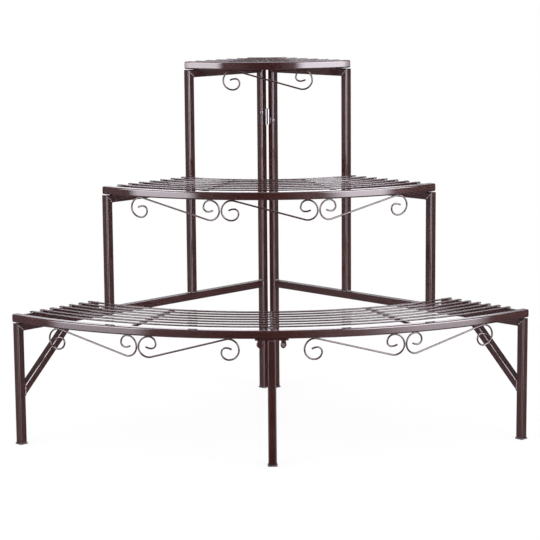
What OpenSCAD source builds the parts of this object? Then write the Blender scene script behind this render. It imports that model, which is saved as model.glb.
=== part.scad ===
// Three-tier corner plant stand of square steel tube.
// Two flat side frames meet at 90 degrees and are hinged at the corner. Three loose shelves with a bent
// rim, flat slats and wire scrolls rest on the frames, and a bolted-on centre leg carries the lowest rim.
// Front view: +X to the right, the curved rims face -Y, the hinged corner lies at +Y, +Z is up.
// A side frame is drawn in its own plane: X runs out from the corner, Y is its outer side. The left one is
// the mirror of the right one.

/* [Heights] */
// Top face of the bottom rails, which carry the bottom shelf
bottom_rail_top = 245; // [200:1:300]
// Top face of the middle rails, which carry the middle shelf
middle_rail_top = 477; // [400:1:540]
// Top face of the top rails, which carry the top shelf
top_rail_top = 720; // [640:1:800]

/* [Side frames] */
// Side of the square tube
tube_w = 16; // [14:0.5:20]
// Wall of the square tube
tube_wall = 1.2; // [1:0.1:2]
// Outside corner radius of the square tube
tube_r = 2.8; // [1.5:0.1:3]
// Corner of the frames to the middle of a rear post
rear_post_at = 17.5; // [17.5:0.5:30]
// How far a top tier post stands out past the top rim
top_post_past = 1.7; // [-20:0.1:4]
// How far a middle tier post stands out past the middle rim
middle_post_past = 1.3; // [-20:0.1:8]
// How far a front leg stands out past the bottom rim
front_leg_past = 0.1; // [-20:0.1:8]
// Height at which a brace's centre line meets its front leg
brace_foot_z = 109; // [80:1:150]
// Slope of a brace
brace_slope = 45; // [40:1:50]

/* [Feet and end plugs] */
// Width of a foot's flange
foot_w = 19; // [17:0.25:19]
// Corner radius of a foot's flange
foot_r = 3; // [3:0.5:5]
// Height of a foot's flange
foot_h = 3; // [2:0.5:5]
// Length of the part of a plug that sits inside the tube
plug_depth = 12; // [8:1:20]
// Thickness of the head of a rim's end plug
rim_plug_t = 2.5; // [2:0.5:4]
// Gap all round between a plug and the inside of its tube
plug_gap = 0.15; // [0.05:0.05:0.3]

/* [Hinges] */
// Diameter of a hinge knuckle
knuckle_d = 11; // [9:0.5:12]
// Length of a hinge knuckle
knuckle_l = 17; // [12:1:25]
// Gap between the knuckles of one hinge
knuckle_gap = 0.6; // [0.4:0.1:1]
// Gap between a knuckle and the posts beside it
knuckle_off = 0.4; // [0.3:0.1:1]
// Width of the weld tab that joins a knuckle to its post
tab_w = 4; // [3:0.5:7]
// Diameter of a hinge pin
pin_d = 6; // [5:0.5:6.5]
// How far a hinge pin stops short of its upper knuckle's end
pin_short = 1; // [0:0.5:3]
// Running clearance of a pin or a bolt, on the radius
run_gap = 0.05; // [0.02:0.01:0.1]
// Height of the middle of the upper hinge
upper_hinge_z = 608; // [520:1:620]
// Height of the middle of the lower hinge
lower_hinge_z = 120; // [80:1:180]

/* [Shelves] */
// How far behind the corner the arcs of rims and slats are struck
arc_behind = 70; // [60:1:75]
// Outside radius of the bottom rim
bottom_rim_r = 764; // [755:1:800]
// Outside radius of the middle rim
middle_rim_r = 526; // [515:1:540]
// Outside radius of the top rim
top_rim_r = 294; // [286:1:305]
// How far the bottom rim's ends stand out past the sides of the frames
bottom_end_past = 2; // [0:0.5:6]
// Gap between a rim and the side frames under its ends
rim_gap = 1.7; // [1.5:0.1:4]
// Gap between an end bar and the rail that it lies on
rest_gap = 0.02; // [0.01:0.01:0.1]
// Gap between a bar's end and the rim that it is welded to
weld_gap = 0.1; // [0.05:0.05:0.3]
// Width of a slat
slat_w = 8; // [6:0.5:12]
// Thickness of a slat
slat_t = 2.5; // [2.5:0.5:6]
// Edge radius of a slat
slat_r = 0.8; // [0.5:0.1:1.1]
// Number of slats of the bottom shelf
bottom_slats_n = 7; // [5:1:7]
// Number of slats of the middle shelf
middle_slats_n = 7; // [5:1:7]
// Number of slats of the top shelf
top_slats_n = 6; // [4:1:6]
// Spacing of the bottom slats
bottom_pitch = 25; // [22:0.5:26]
// Spacing of the middle slats
middle_pitch = 29.5; // [24:0.5:29.5]
// Spacing of the top slats
top_pitch = 30; // [24:0.5:30]
// Middle of the bottom rim's tube to the middle of the first slat
bottom_first = 40; // [26:1:48]
// Middle of the middle rim's tube to the middle of the first slat
middle_first = 37.6; // [26:0.2:38]
// Middle of the top rim's tube to the middle of the first slat
top_first = 28; // [24:1:32]
// Thickness of the end bars and ribs under the slats
bar_t = 5; // [4:0.5:8]
// Depth of a rib under the slats
rib_h = 5; // [4:0.5:9]
// How far a bar or rib runs on behind the last slat
bar_tail = 12; // [10:1:30]
// Angle between the middle and a side rib of the bottom shelf, seen from the corner
bottom_rib_angle = 23.5; // [18:0.5:28]
// Angle between the middle and a rib of the middle shelf, seen from the corner
middle_rib_angle = 19; // [15:0.5:25]
// Gap between an end bar's inner end and the post behind it
bar_gap = 1.5; // [1:0.1:3]

/* [Scrolls] */
// Length of the middle shelf's scrolls
middle_scroll_l = 195; // [180:1:198]
// Length of the top shelf's scroll
top_scroll_l = 189; // [170:1:198]
// Height of a scroll
scroll_h = 43.5; // [38:0.5:46]
// Diameter of the scroll wire
wire_d = 3.5; // [3:0.5:4.5]
// Radius of the second arc of a curl
curl_mid_r = 14; // [12:0.5:15]
// Radius of the innermost arc of a curl
curl_in_r = 9; // [8:0.5:10]
// Radius of the flat arc at a curl's tip
tip_r = 22; // [18:1:30]
// Angle of the flat arc at a curl's tip
tip_angle = 30; // [20:1:35]
// Gap between neighbouring scrolls
scroll_gap = 0.3; // [0.3:0.1:3]
// End of the bottom rim to its nearest scroll
end_scroll_gap = 95; // [85:1:105]
// Side of the centre leg's plate to the nearest scroll
plate_scroll_gap = 27.5; // [20:0.5:40]

/* [Centre leg] */
// Width of the plate on top of the centre leg
plate_w = 64; // [62:1:70]
// Thickness of the plate
plate_t = 3; // [2:0.5:4]
// Distance between the two wing bolts
bolt_spacing = 44.5; // [44:0.5:46]
// Diameter of a wing bolt's shank
bolt_d = 6; // [5:0.5:6]
// Free space round a shank in the plate and the rim, on the radius
bolt_gap = 0.3; // [0.2:0.1:0.5]
// Distance across the flats of a weld nut
nut_w = 10; // [9:0.5:11]
// Height of a weld nut
nut_h = 5; // [4:0.5:6]
// Diameter of a wing bolt's hub
hub_d = 9.5; // [8:0.5:11]
// Height of a wing bolt's hub
hub_h = 7; // [5:0.5:9]
// Reach of a wing from the bolt's axis
wing_reach = 6.5; // [5.5:0.5:8]
// Drop of a wing below the plate
wing_drop = 16.5; // [14:0.5:20]
// Thickness of a wing
wing_t = 2.6; // [2:0.1:3.5]
// Radius of a wing's rounded end
lobe_r = 5; // [4:0.5:5.5]
// Length of a shank past its nut
bolt_past = 1.5; // [0.5:0.5:4]
// Turn of the wings at rest, from the rim's run
wing_turn = 20; // [0:1:45]

/* [Hidden] */

enamel = "#3d2528";
slat_enamel = "#4a3134";
plug_black = "#1c1a1a";
zinc = "#5a4d4c";

fine = 48;
arc_fn = 360;
wire_fn = 16;
// Free space between two pieces of a scroll's wire and the swelling of the bend that joins them
bend_gap = 0.05;
bend_swell = 0.1;
over = 1;
tube_half = tube_w / 2;
inner_w = tube_w - 2 * tube_wall;
inner_r = max(0.4, tube_r - tube_wall);
diag = sqrt(0.5);

// The overall box, whose bottom centre is the origin: the mitred end bars reach furthest back, and the
// centre leg's foot or the wings of its bolts reach furthest forward
rear_reach = bar_t * diag;
wing_reach_y = wing_reach * sin(wing_turn) + wing_t / 2 * cos(wing_turn);
front_reach = bottom_rim_r - tube_half - arc_behind + max(tube_half, foot_w / 2, wing_reach_y);
shift_y = (front_reach - rear_reach) / 2;

hinge_at = tube_half + knuckle_d / 2 + knuckle_off;
bar_h = rim_gap + tube_w - slat_t;
curl_r = (scroll_h - wire_d) / 2;

// Where the outer sides of the frames lie, seen from the arcs' centre
side_off = arc_behind * diag - tube_half;

function rim_mid(rim_r) = rim_r - tube_half;
function end_angle(r, past = 0) = 45 - asin((side_off - past) / r);
function arc_angle(r, length) = length / r * 180 / PI;
function rim_z(rail_top) = rail_top + rim_gap;
function slat_z(rail_top) = rim_z(rail_top) + tube_w - slat_t;
function along_frame(r) = sqrt(r * r - pow(arc_behind * diag, 2)) - arc_behind * diag;

// Corner of the frames to the middle of each upright
top_post_at = along_frame(top_rim_r) + top_post_past - tube_half;
middle_post_at = along_frame(middle_rim_r) + middle_post_past - tube_half;
front_leg_at = along_frame(bottom_rim_r) + front_leg_past - tube_half;

bottom_first_r = rim_mid(bottom_rim_r) - bottom_first;
middle_first_r = rim_mid(middle_rim_r) - middle_first;
top_first_r = rim_mid(top_rim_r) - top_first;
bottom_last_r = bottom_first_r - (bottom_slats_n - 1) * bottom_pitch;
middle_last_r = middle_first_r - (middle_slats_n - 1) * middle_pitch;

// A scroll of length l: its middle to the middle of a curl, its run's slope, and how far it hangs in front
function curl_x(l) = l / 2 - scroll_h / 2;
function run_slope(l) = asin(curl_r / curl_x(l));
function scroll_dist(rim_r, l) = sqrt(pow(rim_mid(rim_r), 2) - pow(curl_x(l), 2));
// Half the angle that a curl and half the gap beside it take up under a rim
function curl_angle(rim_r) = asin((scroll_h + scroll_gap) / 2 / rim_mid(rim_r));
middle_scroll_step = 2 * (asin(curl_x(middle_scroll_l) / rim_mid(middle_rim_r)) + curl_angle(middle_rim_r));
// On each side two equal scrolls fill the bottom rim from the plate's gap to the end's gap
bottom_mid = rim_mid(bottom_rim_r);
bottom_scroll_from = asin((plate_w / 2 + plate_scroll_gap) / bottom_mid);
bottom_scroll_to = end_angle(bottom_mid, bottom_end_past) - arc_angle(bottom_mid, end_scroll_gap);
bottom_scroll_half = (bottom_scroll_to - bottom_scroll_from) / 4;
bottom_scroll_in = bottom_scroll_from + bottom_scroll_half;
bottom_scroll_out = bottom_scroll_to - bottom_scroll_half;
bottom_scroll_l = scroll_h + 2 * bottom_mid * sin(bottom_scroll_half - curl_angle(bottom_rim_r));

// A square with rounded corners, centred
module round_square(w, h, r) {
    square([w - 2 * r, h], center = true);
    square([w, h - 2 * r], center = true);
    for (x = [-1, 1], y = [-1, 1])
        translate([x * (w / 2 - r), y * (h / 2 - r)]) circle(r = r, $fn = fine);
}

// The cut through the square tube
module tube_section() {
    difference() {
        round_square(tube_w, tube_w, tube_r);
        round_square(inner_w, inner_w, inner_r);
    }
}

// Side frame coordinates to the whole stand
module right_side() {
    translate([0, shift_y, 0]) rotate([0, 0, -45]) children();
}
module left_side() {
    mirror([1, 0, 0]) right_side() children();
}
// Shelf coordinates, measured from the arcs' centre with the front at -Y
module shelf() {
    translate([0, shift_y + arc_behind, 0]) children();
}

// An upright and a level tube of a side frame
module upright(at, z0, z1) {
    translate([at, 0, z0]) linear_extrude(z1 - z0) tube_section();
}
module level_tube(top, from, to) {
    translate([from, 0, top - tube_half]) rotate([0, 90, 0]) linear_extrude(to - from) tube_section();
}
// The half of a corner that a mitre takes away; side is 1 where the rail ends in front, -1 at the back
module mitre_waste(at, top, side, from_upright) {
    e = over;
    corner = from_upright ? [-tube_half - e, e] : [tube_half + e, -tube_w - e];
    translate([at, 0, top]) scale([side, 1, 1]) rotate([90, 0, 0]) linear_extrude(2 * tube_w, center = true)
        polygon([[-tube_half - e, -tube_w - e], [tube_half + e, e], corner]);
}

// Side frame, tubes
module rear_post() {
    color(enamel) difference() {
        upright(rear_post_at, foot_h, top_rail_top);
        mitre_waste(rear_post_at, top_rail_top, -1, true);
    }
}
module top_post() {
    color(enamel) difference() {
        upright(top_post_at, bottom_rail_top, top_rail_top);
        mitre_waste(top_post_at, top_rail_top, 1, true);
    }
}
module middle_post() {
    color(enamel) difference() {
        upright(middle_post_at, bottom_rail_top, middle_rail_top);
        mitre_waste(middle_post_at, middle_rail_top, 1, true);
    }
}
module front_leg() {
    color(enamel) difference() {
        upright(front_leg_at, foot_h, bottom_rail_top);
        mitre_waste(front_leg_at, bottom_rail_top, 1, true);
    }
}
module top_rail() {
    color(enamel) difference() {
        level_tube(top_rail_top, rear_post_at - tube_half, top_post_at + tube_half);
        mitre_waste(rear_post_at, top_rail_top, -1, false);
        mitre_waste(top_post_at, top_rail_top, 1, false);
    }
}
module middle_rail() {
    color(enamel) difference() {
        level_tube(middle_rail_top, top_post_at + tube_half, middle_post_at + tube_half);
        mitre_waste(middle_post_at, middle_rail_top, 1, false);
    }
}
module bottom_rail() {
    color(enamel) difference() {
        level_tube(bottom_rail_top, rear_post_at + tube_half, front_leg_at + tube_half);
        mitre_waste(front_leg_at, bottom_rail_top, 1, false);
    }
}
// The brace runs from the front leg's rear face up to the bottom rail's underside
module brace() {
    leg_face = front_leg_at - tube_half;
    rail_face = bottom_rail_top - tube_w;
    run = (rail_face - brace_foot_z) / sin(brace_slope);
    color(enamel) intersection() {
        translate([leg_face, 0, brace_foot_z]) rotate([0, brace_slope - 90, 0])
            translate([0, 0, -2 * tube_w]) linear_extrude(run + 4 * tube_w) tube_section();
        translate([0, -tube_w, 0]) cube([leg_face, 2 * tube_w, rail_face]);
    }
}

// Plastic foot pushed into the lower end of an upright
module foot_plug() {
    color(plug_black) {
        linear_extrude(foot_h) round_square(foot_w, foot_w, foot_r);
        linear_extrude(foot_h + plug_depth)
            round_square(inner_w - 2 * plug_gap, inner_w - 2 * plug_gap, inner_r);
    }
}
module rear_foot() {
    translate([rear_post_at, 0, 0]) foot_plug();
}
module front_foot() {
    translate([front_leg_at, 0, 0]) foot_plug();
}

// Hinges
// A knuckle with its weld tab, from z = 0 up
module knuckle(bore_r) {
    color(enamel) translate([hinge_at, -hinge_at, 0]) difference() {
        union() {
            cylinder(d = knuckle_d, h = knuckle_l, $fn = fine);
            translate([-tab_w / 2, 0, 0]) cube([tab_w, hinge_at - tube_half, knuckle_l]);
        }
        translate([0, 0, -over]) cylinder(r = bore_r, h = knuckle_l + 2 * over, $fn = fine);
    }
}
module left_hinge_knuckles() {
    for (z = [upper_hinge_z, lower_hinge_z])
        translate([0, 0, z + knuckle_gap / 2]) knuckle(pin_d / 2 + run_gap);
}
module right_hinge_knuckles() {
    for (z = [upper_hinge_z, lower_hinge_z])
        translate([0, 0, z - knuckle_gap / 2 - knuckle_l]) knuckle(pin_d / 2);
}
module hinge_pins() {
    for (z = [upper_hinge_z, lower_hinge_z])
        color(zinc) translate([hinge_at, -hinge_at, z - knuckle_gap / 2 - knuckle_l])
            cylinder(d = pin_d, h = 2 * knuckle_l + knuckle_gap - pin_short, $fn = fine);
}

// Shelves
// A section bent along an arc, from one angle off the front to another
module bent(r, from, to) {
    rotate([0, 0, from - 90]) rotate_extrude(angle = to - from, $fn = arc_fn) translate([r, 0]) children();
}
// The angle at which a rim's tube ends, where the head of its plug begins
function tube_end(rim_r, past) = end_angle(rim_mid(rim_r), past) - arc_angle(rim_mid(rim_r), rim_plug_t);
module rim(rim_r, rail_top, past = 0) {
    half = tube_end(rim_r, past);
    translate([0, 0, rim_z(rail_top) + tube_half]) bent(rim_mid(rim_r), -half, half) tube_section();
}
// The closed ends of a rim: a head on the tube's end and a shank inside it, bent as the tube is
module rim_plug(rim_r, rail_top, past) {
    mid = rim_mid(rim_r);
    from = tube_end(rim_r, past);
    to = end_angle(mid, past);
    shank_w = inner_w - 2 * plug_gap;
    color(plug_black) translate([0, 0, rim_z(rail_top) + tube_half]) {
        bent(mid, from, to) round_square(tube_w, tube_w, tube_r);
        bent(mid, from - arc_angle(mid, plug_depth), to) round_square(shank_w, shank_w, inner_r);
    }
}
module rim_plugs(rim_r, rail_top, past = 0) {
    rim_plug(rim_r, rail_top, past);
    mirror([1, 0, 0]) rim_plug(rim_r, rail_top, past);
}
module slats(first_r, pitch, n, rail_top) {
    for (i = [0 : n - 1])
        color(slat_enamel) translate([0, 0, slat_z(rail_top) + slat_t / 2]) {
            half = end_angle(first_r - i * pitch);
            bent(first_r - i * pitch, -half, half) round_square(slat_w, slat_t, slat_r);
        }
}
// The disc inside a rim, for bars that butt against the rim's inner wall
module inside_rim(rim_r, rail_top) {
    translate([0, 0, rail_top - over])
        cylinder(r = rim_r - tube_w - weld_gap, h = 2 * tube_w, $fn = arc_fn);
}
// A bar on edge on top of a side frame's rail, from a given place out to the rim, in shelf coordinates
module end_bar(rim_r, rail_top, from) {
    color(enamel) intersection() {
        translate([0, -arc_behind, rail_top + rest_gap]) rotate([0, 0, -45])
            translate([from, -bar_t / 2, 0]) cube([rim_r, bar_t, bar_h - rest_gap]);
        inside_rim(rim_r, rail_top);
    }
}
// The top shelf's end bars run to the corner, where they meet in a mitre
module corner_bar(rim_r, rail_top) {
    color(enamel) intersection() {
        translate([0, -arc_behind, rail_top + rest_gap]) rotate([0, 0, -45])
            linear_extrude(bar_h - rest_gap) polygon([[bar_t / 2, -bar_t / 2], [rim_r, -bar_t / 2],
                [rim_r, bar_t / 2], [-bar_t / 2, bar_t / 2]]);
        inside_rim(rim_r, rail_top);
    }
}
// Where an end bar starts: behind the last slat, but clear of the post there
function bar_from(last_r, post_at) =
    max(along_frame(last_r - slat_w / 2 - bar_tail), post_at + tube_half + bar_gap);
// A rib on edge below the slats, in line with the corner
module rib(rim_r, rail_top, last_r, angle) {
    color(enamel) difference() {
        intersection() {
            translate([0, -arc_behind, slat_z(rail_top) - rib_h]) rotate([0, 0, angle - 90])
                translate([0, -bar_t / 2, 0]) cube([rim_r, bar_t, rib_h]);
            inside_rim(rim_r, rail_top);
        }
        translate([0, 0, rail_top])
            cylinder(r = last_r - slat_w / 2 - bar_tail, h = 3 * tube_w, $fn = arc_fn);
    }
}

module bottom_rim() {
    color(enamel) difference() {
        rim(bottom_rim_r, bottom_rail_top, bottom_end_past);
        bolt_places() translate([0, 0, rim_z(bottom_rail_top) - over])
            cylinder(r = bolt_d / 2 + bolt_gap, h = over + tube_w / 2, $fn = fine);
    }
}
module bottom_ribs() {
    for (a = [-bottom_rib_angle, 0, bottom_rib_angle])
        rib(bottom_rim_r, bottom_rail_top, bottom_last_r, a);
}
module middle_rim() {
    color(enamel) rim(middle_rim_r, middle_rail_top);
}
module middle_ribs() {
    for (a = [-middle_rib_angle, middle_rib_angle])
        rib(middle_rim_r, middle_rail_top, middle_last_r, a);
}
module top_rim() {
    color(enamel) rim(top_rim_r, top_rail_top);
}
// The top shelf's one rib runs back to the corner between the end bars
module top_rib() {
    back = bar_t * sqrt(2);
    color(enamel) intersection() {
        translate([-bar_t / 2, -arc_behind - back - top_rim_r, slat_z(top_rail_top) - rib_h])
            cube([bar_t, top_rim_r, rib_h]);
        inside_rim(top_rim_r, top_rail_top);
    }
}

// Scrolls
// An arc of wire in the plane of a scroll, with a slightly fuller bend where it starts
module wire_arc(centre, r, from, to) {
    short = bend_gap / r * 180 / PI;
    translate([centre[0], 0, centre[1]]) rotate([90, 0, 0]) {
        rotate([0, 0, from + short])
            rotate_extrude(angle = to - from - 2 * short, $fn = 72)
                translate([r, 0]) circle(d = wire_d, $fn = wire_fn);
        rotate([0, 0, from]) translate([r, 0, 0]) sphere(d = wire_d + bend_swell, $fn = wire_fn);
    }
}
// The straight sloping run between the two curls
module scroll_run(l) {
    half_run = curl_x(l) * cos(run_slope(l)) - bend_gap;
    rotate([0, -90 + run_slope(l), 0]) translate([0, 0, -half_run])
        cylinder(d = wire_d, h = 2 * half_run, $fn = wire_fn);
}
// The left curl: round from the run's upper end and in to the tip
module curl(l) {
    mid_c = [-curl_x(l), -curl_r + curl_mid_r];
    in_c = [-curl_x(l) + curl_mid_r - curl_in_r, mid_c[1]];
    tip_c = [in_c[0], in_c[1] + curl_in_r - tip_r];
    wire_arc([-curl_x(l), 0], curl_r, 90 - run_slope(l), 270);
    wire_arc(mid_c, curl_mid_r, 270, 360);
    wire_arc(in_c, curl_in_r, 0, 90);
    wire_arc(tip_c, tip_r, 90, 90 + tip_angle);
}
// A scroll hung under a rim at an angle from the middle; flip turns it end for end
module scroll(rim_r, rail_top, l, angle, flip) {
    color(enamel) rotate([0, 0, angle])
        translate([0, -scroll_dist(rim_r, l), rim_z(rail_top) - scroll_h / 2])
            mirror([flip ? 1 : 0, 0, 0]) {
                scroll_run(l);
                curl(l);
                rotate([0, 180, 0]) curl(l);
            }
}
module bottom_scroll(angle, flip) {
    shelf() scroll(bottom_rim_r, bottom_rail_top, bottom_scroll_l, angle, flip);
}
module middle_scroll(angle, flip) {
    shelf() scroll(middle_rim_r, middle_rail_top, middle_scroll_l, angle, flip);
}

// Centre leg
plate_z = rim_z(bottom_rail_top) - plate_t;
module leg_place() {
    translate([0, -rim_mid(bottom_rim_r), 0]) children();
}
module bolt_places() {
    for (x = [-1, 1]) leg_place() translate([x * bolt_spacing / 2, 0, 0]) children();
}
module centre_leg() {
    color(enamel) leg_place() translate([0, 0, foot_h]) linear_extrude(plate_z - foot_h) tube_section();
}
module centre_leg_foot() {
    leg_place() foot_plug();
}
module centre_leg_plate() {
    color(enamel) difference() {
        leg_place() translate([0, 0, plate_z])
            linear_extrude(plate_t) round_square(plate_w, tube_w, tube_r);
        bolt_places() translate([0, 0, plate_z - over])
            cylinder(r = bolt_d / 2 + bolt_gap, h = plate_t + 2 * over, $fn = fine);
    }
}
module leg_weld_nuts() {
    color(zinc) bolt_places() translate([0, 0, rim_z(bottom_rail_top) + tube_wall]) difference() {
        cylinder(d = nut_w / cos(30), h = nut_h, $fn = 6);
        translate([0, 0, -over]) cylinder(r = bolt_d / 2 + run_gap, h = nut_h + 2 * over, $fn = fine);
    }
}
// A wing bolt in its place: shank up through plate, rim and nut, and below the plate a hub with two short
// wings that hang down and meet in one oval grip
module wing_bolt(side) {
    lobe_z = -wing_drop + lobe_r;
    root_top = [hub_d / 4, -plate_t / 2];
    root_low = [hub_d / 4, -hub_h + plate_t / 2];
    place = [side * bolt_spacing / 2, 0, plate_z];
    color(zinc) leg_place() translate(place) rotate([0, 0, side * wing_turn]) {
        cylinder(d = bolt_d, h = plate_t + tube_wall + nut_h + bolt_past, $fn = fine);
        translate([0, 0, -hub_h]) cylinder(d = hub_d, h = hub_h, $fn = fine);
        for (s = [0, 1]) mirror([s, 0, 0]) rotate([90, 0, 0]) linear_extrude(wing_t, center = true) {
            translate([wing_reach - lobe_r, lobe_z]) circle(r = lobe_r, $fn = fine);
            polygon([root_top, [hub_d / 2, root_top[1]], [wing_reach, lobe_z],
                [wing_reach - 2 * lobe_r, lobe_z], root_low]);
        }
    }
}

left_side() rear_post();  // left_rear_post
left_side() top_post();  // left_top_post
left_side() middle_post();  // left_middle_post
left_side() front_leg();  // left_front_leg
left_side() top_rail();  // left_top_rail
left_side() middle_rail();  // left_middle_rail
left_side() bottom_rail();  // left_bottom_rail
left_side() brace();  // left_brace
left_side() rear_foot();  // left_rear_foot
left_side() front_foot();  // left_front_foot
left_side() left_hinge_knuckles();
right_side() rear_post();  // right_rear_post
right_side() top_post();  // right_top_post
right_side() middle_post();  // right_middle_post
right_side() front_leg();  // right_front_leg
right_side() top_rail();  // right_top_rail
right_side() middle_rail();  // right_middle_rail
right_side() bottom_rail();  // right_bottom_rail
right_side() brace();  // right_brace
right_side() rear_foot();  // right_rear_foot
right_side() front_foot();  // right_front_foot
right_side() right_hinge_knuckles();
right_side() hinge_pins();

shelf() bottom_rim();
shelf() rim_plugs(bottom_rim_r, bottom_rail_top, bottom_end_past);  // bottom_rim_plugs
shelf() slats(bottom_first_r, bottom_pitch, bottom_slats_n, bottom_rail_top);  // bottom_slats
shelf() bottom_ribs();
mirror([1, 0, 0]) shelf()  // bottom_left_end_bar
        end_bar(bottom_rim_r, bottom_rail_top, bar_from(bottom_last_r, middle_post_at));
shelf() end_bar(bottom_rim_r, bottom_rail_top, bar_from(bottom_last_r, middle_post_at));  // bottom_right_end_bar
bottom_scroll(-bottom_scroll_out, false);  // bottom_left_outer_scroll
bottom_scroll(-bottom_scroll_in, true);  // bottom_left_inner_scroll
bottom_scroll(bottom_scroll_in, false);  // bottom_right_inner_scroll
bottom_scroll(bottom_scroll_out, true);  // bottom_right_outer_scroll

shelf() centre_leg();
shelf() centre_leg_plate();
shelf() centre_leg_foot();
shelf() leg_weld_nuts();
shelf() wing_bolt(-1);  // left_wing_bolt
shelf() wing_bolt(1);  // right_wing_bolt

shelf() middle_rim();
shelf() rim_plugs(middle_rim_r, middle_rail_top);  // middle_rim_plugs
shelf() slats(middle_first_r, middle_pitch, middle_slats_n, middle_rail_top);  // middle_slats
shelf() middle_ribs();
mirror([1, 0, 0]) shelf() end_bar(middle_rim_r, middle_rail_top, bar_from(middle_last_r, top_post_at));  // middle_left_end_bar
shelf() end_bar(middle_rim_r, middle_rail_top, bar_from(middle_last_r, top_post_at));  // middle_right_end_bar
middle_scroll(-middle_scroll_step, false);  // middle_left_scroll
middle_scroll(0, false);  // middle_centre_scroll
middle_scroll(middle_scroll_step, true);  // middle_right_scroll

shelf() top_rim();
shelf() rim_plugs(top_rim_r, top_rail_top);  // top_rim_plugs
shelf() slats(top_first_r, top_pitch, top_slats_n, top_rail_top);  // top_slats
shelf() top_rib();
mirror([1, 0, 0]) shelf() corner_bar(top_rim_r, top_rail_top);  // top_left_end_bar
shelf() corner_bar(top_rim_r, top_rail_top);  // top_right_end_bar
shelf() scroll(top_rim_r, top_rail_top, top_scroll_l, 0, false);  // top_scroll
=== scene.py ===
"""Corner plant stand: enamel, welds, moulded feet, wing bolts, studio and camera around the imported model.

Lengths are in metres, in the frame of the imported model: +X to the right, -Y towards the curved front, +Z up.
A side frame's own directions are u, outwards from the corner along the frame, n, square to it towards the
wall, and z. A shelf's arcs are struck from a centre behind the corner. Angles on them are counted from the
front, positive to the right.
"""

import functools
import math

import bpy
import numpy as np
from bpy.props import FloatProperty, FloatVectorProperty, PointerProperty
from mathutils import Matrix, Vector


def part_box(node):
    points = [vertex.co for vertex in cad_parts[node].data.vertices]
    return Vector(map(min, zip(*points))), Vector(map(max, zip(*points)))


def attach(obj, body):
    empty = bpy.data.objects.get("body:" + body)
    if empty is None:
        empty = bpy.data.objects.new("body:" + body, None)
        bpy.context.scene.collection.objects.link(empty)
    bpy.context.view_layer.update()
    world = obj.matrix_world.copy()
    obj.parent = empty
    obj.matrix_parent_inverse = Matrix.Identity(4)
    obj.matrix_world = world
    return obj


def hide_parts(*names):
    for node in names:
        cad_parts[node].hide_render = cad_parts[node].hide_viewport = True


bl_info = {
    "name": "Corner Plant Stand",
    "version": (1, 0, 0),
    "blender": (4, 5, 0),
    "location": "3D View > Sidebar > Plant Stand",
    "description": "Finishes, welds and small parts of a three-tier corner plant stand",
    "category": "Object",
}

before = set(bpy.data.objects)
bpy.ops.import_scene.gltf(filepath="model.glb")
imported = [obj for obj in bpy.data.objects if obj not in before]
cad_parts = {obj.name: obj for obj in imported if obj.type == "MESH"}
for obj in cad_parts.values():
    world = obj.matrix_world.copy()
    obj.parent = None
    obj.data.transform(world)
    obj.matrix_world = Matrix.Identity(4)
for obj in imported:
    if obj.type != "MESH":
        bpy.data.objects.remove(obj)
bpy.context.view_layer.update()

HALF_ROOT = math.sqrt(0.5)
TIERS = ("bottom", "middle", "top")
SIDES = {"left": -1.0, "right": 1.0}


def middle_of(node):
    """Centre of a node's box."""
    low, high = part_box(node)
    return (low + high) / 2


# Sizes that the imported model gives
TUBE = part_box("centre_leg")[1].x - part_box("centre_leg")[0].x
SLAT_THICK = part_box("top_slats")[1].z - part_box("top_slats")[0].z
RIB_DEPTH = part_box("top_rib")[1].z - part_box("top_rib")[0].z
RIM_TOP = {tier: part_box(tier + "_rim")[1].z for tier in TIERS}
RAIL_TOP = {
    "bottom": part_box("right_bottom_rail")[1].z,
    "middle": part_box("right_middle_rail")[1].z,
    "top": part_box("right_top_rail")[1].z,
}
POST_AT = {
    name: middle_of("right_" + name).x / HALF_ROOT
    for name in ("rear_post", "top_post", "middle_post", "front_leg")
}
# Where the side frames' middle planes meet, and the centre of the arcs behind it
CORNER_Y = middle_of("right_rear_post").y + POST_AT["rear_post"] * HALF_ROOT
ARC_BEHIND = 0.070
ARC_Y = CORNER_Y + ARC_BEHIND
RIM_RADIUS = {tier: ARC_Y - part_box(tier + "_rim")[0].y for tier in TIERS}
# Outside corner radius of the tube, and how far the rim ends stand out past the frames' sides
TUBE_CORNER = 0.0028
END_PAST = {"bottom": 0.002, "middle": 0.0, "top": 0.0}
# Half of the tube's side, and half of the flat on it
HALF = TUBE / 2
FLAT = HALF - TUBE_CORNER
# Slats: radius of the first, spacing and number, and the ribs' angles as seen from the corner
SLAT_WIDTH = 0.008
SLATS = {"bottom": (0.716, 0.025, 7), "middle": (0.4804, 0.0295, 7), "top": (0.258, 0.030, 6)}
RIBS = {"bottom": (-23.5, 0.0, 23.5), "middle": (-19.0, 19.0), "top": (0.0,)}
# The end bars lie under the slats' ends, at 45 degrees to the front, and stand this much above the rim's foot
BAR_ANGLE = 45.0
BAR_THICK = 0.005
BAR_FOOT = 0.0022
# Height at which the middle of the brace meets the front leg
BRACE_FOOT_Z = 0.109
UP, DOWN = np.array([0.0, 0.0, 1.0]), np.array([0.0, 0.0, -1.0])


def side_point(side, u, n, z):
    """Points given along, across and above a side frame, as points of the whole stand."""
    u, n, z = np.broadcast_arrays(*(np.asarray(a, float) for a in (u, n, z)))
    return np.stack([SIDES[side] * HALF_ROOT * (u + n), CORNER_Y + HALF_ROOT * (n - u), z], -1)


def side_vector(side, u, n, z):
    """A direction given in a side frame's own directions, as a direction of the whole stand."""
    return np.array([SIDES[side] * HALF_ROOT * (u + n), HALF_ROOT * (n - u), z])


def unit(vectors):
    """Vectors brought to length 1."""
    return vectors / np.linalg.norm(vectors, axis=-1, keepdims=True)


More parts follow.
